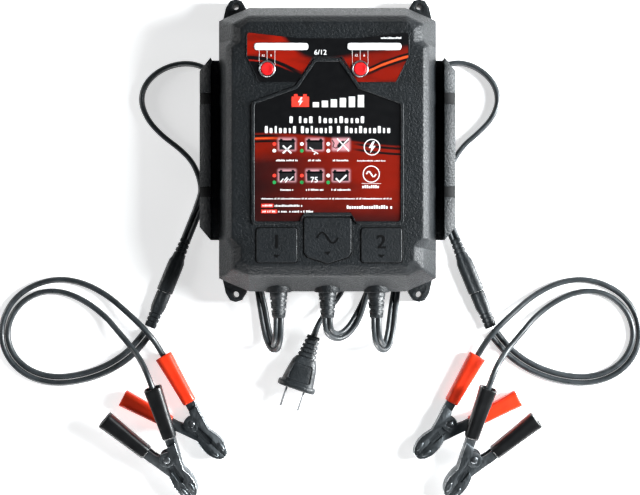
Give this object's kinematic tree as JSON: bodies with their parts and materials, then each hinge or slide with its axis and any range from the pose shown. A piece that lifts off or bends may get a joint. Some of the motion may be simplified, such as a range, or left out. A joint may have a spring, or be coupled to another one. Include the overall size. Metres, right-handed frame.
{
  "type": "car battery charger",
  "caption": "Two-output car battery charger with sealed casing, mode buttons, status panel, cord wraps, mains lead and plug, and in-line connectors to spring clamp leads.",
  "frame": {"origin": "middle of the four mounting holes, on the plane of the feet that the charger is screwed to", "axes": "+X to the right of the front face, +Y to its top, +Z out of the front face"},
  "size_m": [0.4562, 0.3502, 0.0621],
  "materials": {
    "housing": "fine spark-eroded texture on moulded ABS, charcoal blue-grey",
    "gasket": "matt sealing ring",
    "screw_steel": "zinc plated",
    "control_print": "printed film, red and black swooshes",
    "status_print": "printed film with pictograms",
    "window": "white translucent lens",
    "bezel_chrome": "plated ring",
    "button_red": "moulded, slightly domed",
    "circuit": "solder mask",
    "black_plastic": "moulded",
    "lamp": "tinted clear",
    "transformer": "taped winding",
    "capacitor": "sleeved can",
    "aluminium": "extruded",
    "fuse_glass": "glass tube",
    "cord_rubber": "semi-matt PVC, dark grey",
    "tie": "plastic coated twist tie",
    "plug_rubber": "semi-matt PVC, dark grey",
    "plug_steel": "nickel plated blades",
    "rivet_steel": "plated",
    "jaw_steel": "gunmetal, stamped sheet",
    "spring_steel": "spring wire",
    "grip_red": "glossy dipped PVC sleeve",
    "grip_black": "glossy dipped PVC sleeve"
  },
  "bodies": {
    "root": {"front_housing": "housing", "rear_housing": "housing", "housing_gasket": "gasket", "housing_screws": "screw_steel", "control_label": "control_print", "status_label": "status_print", "display_windows": "window", "button_bezels": "bezel_chrome", "circuit_board": "circuit", "tact_switches": "black_plastic", "indicator_leds": "lamp", "power_transformers": "transformer", "filter_capacitors": "capacitor", "heat_sinks": "aluminium", "power_transistors": "black_plastic", "mains_fuse": "fuse_glass", "cord_gland_1": "cord_rubber", "cord_gland_ac": "cord_rubber", "cord_gland_2": "cord_rubber", "cord_1_run": "cord_rubber", "cord_ac_run": "cord_rubber", "cord_ac_coil": "cord_rubber", "cord_2_run": "cord_rubber", "coil_ties": "tie", "plug_body": "plug_rubber", "plug_blades": "plug_steel", "connector_1_charger_half": "cord_rubber", "connector_2_charger_half": "cord_rubber"},
    "button_1": {"mode_button_1": "button_red"},
    "button_2": {"mode_button_2": "button_red"},
    "red_clamp_1_jaw": {"red_clamp_1_moving_jaw": "jaw_steel", "red_clamp_1_moving_grip": "grip_red"},
    "black_clamp_1_jaw": {"black_clamp_1_moving_jaw": "jaw_steel", "black_clamp_1_moving_grip": "grip_black"},
    "clamp_lead_1": {"connector_1_clamp_half": "cord_rubber", "lead_1_red": "cord_rubber", "lead_1_black": "cord_rubber", "clamp_rivets_1": "rivet_steel", "red_clamp_1_fixed_jaw": "jaw_steel", "red_clamp_1_fixed_grip": "grip_red", "red_clamp_1_spring": "spring_steel", "black_clamp_1_fixed_jaw": "jaw_steel", "black_clamp_1_fixed_grip": "grip_black", "black_clamp_1_spring": "spring_steel"},
    "red_clamp_2_jaw": {"red_clamp_2_moving_jaw": "jaw_steel", "red_clamp_2_moving_grip": "grip_red"},
    "black_clamp_2_jaw": {"black_clamp_2_moving_jaw": "jaw_steel", "black_clamp_2_moving_grip": "grip_black"},
    "clamp_lead_2": {"connector_2_clamp_half": "cord_rubber", "lead_2_red": "cord_rubber", "lead_2_black": "cord_rubber", "clamp_rivets_2": "rivet_steel", "red_clamp_2_fixed_jaw": "jaw_steel", "red_clamp_2_fixed_grip": "grip_red", "red_clamp_2_spring": "spring_steel", "black_clamp_2_fixed_jaw": "jaw_steel", "black_clamp_2_fixed_grip": "grip_black", "black_clamp_2_spring": "spring_steel"}
  },
  "joints": [
    {"name": "button_1_press", "type": "slide", "parent": "root", "child": "button_1", "axis": [0, 0, -1], "range_m": [0, 0.0009], "stiffness_N_per_m": 900},
    {"name": "button_2_press", "type": "slide", "parent": "root", "child": "button_2", "axis": [0, 0, -1], "range_m": [0, 0.0009], "stiffness_N_per_m": 900},
    {"name": "connector_1_unplug", "type": "slide", "parent": "root", "child": "clamp_lead_1", "axis": [-0.3795, -0.9252, 0], "range_m": [0, 0.02]},
    {"name": "red_clamp_1_open", "type": "hinge", "parent": "clamp_lead_1", "child": "red_clamp_1_jaw", "pos_m": [-0.096, -0.192, 0.0058], "axis": [0, 0, -1], "range_deg": [0, 26], "stiffness_Nm_per_rad": 0.6, "springref_deg": -20.05, "deforming": ["red_clamp_1_spring"]},
    {"name": "black_clamp_1_open", "type": "hinge", "parent": "clamp_lead_1", "child": "black_clamp_1_jaw", "pos_m": [-0.1125, -0.2155, 0.013], "axis": [0.0241, 0.2107, -0.9773], "range_deg": [0, 26], "stiffness_Nm_per_rad": 0.6, "springref_deg": -20.05, "deforming": ["black_clamp_1_spring"]},
    {"name": "connector_2_unplug", "type": "slide", "parent": "root", "child": "clamp_lead_2", "axis": [0.3795, -0.9252, 0], "range_m": [0, 0.02]},
    {"name": "red_clamp_2_open", "type": "hinge", "parent": "clamp_lead_2", "child": "red_clamp_2_jaw", "pos_m": [0.0862, -0.192, 0.0058], "axis": [0, 0, 1], "range_deg": [0, 26], "stiffness_Nm_per_rad": 0.6, "springref_deg": -20.05, "deforming": ["red_clamp_2_spring"]},
    {"name": "black_clamp_2_open", "type": "hinge", "parent": "clamp_lead_2", "child": "black_clamp_2_jaw", "pos_m": [0.1027, -0.2155, 0.013], "axis": [0.0241, -0.2107, 0.9773], "range_deg": [0, 26], "stiffness_Nm_per_rad": 0.6, "springref_deg": -20.05, "deforming": ["black_clamp_2_spring"]}
  ]
}
